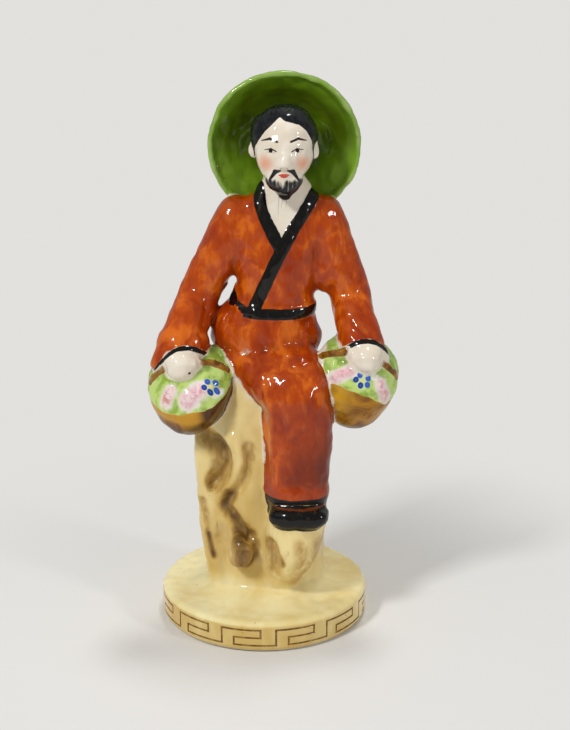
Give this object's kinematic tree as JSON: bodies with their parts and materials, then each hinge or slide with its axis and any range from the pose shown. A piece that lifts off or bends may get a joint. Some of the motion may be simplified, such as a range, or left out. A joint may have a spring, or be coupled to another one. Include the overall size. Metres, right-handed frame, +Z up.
{
  "type": "ceramic figurine",
  "caption": "Glazed ceramic figurine of a flower seller in a robe and wide hat, seated on a stump with a basket in each hand, on a round base.",
  "frame": {"origin": "centre of the base's flat underside, where it stands", "axes": "+Z up, +X towards the right of a viewer who faces the figure's front, +Y away from that viewer"},
  "size_m": [0.0804, 0.0684, 0.1808],
  "materials": {
    "glaze": "clear gloss glaze over hand-painted orange-red, green, black, cream and yellow"
  },
  "bodies": {
    "root": {"figurine": "glaze"}
  },
  "joints": []
}
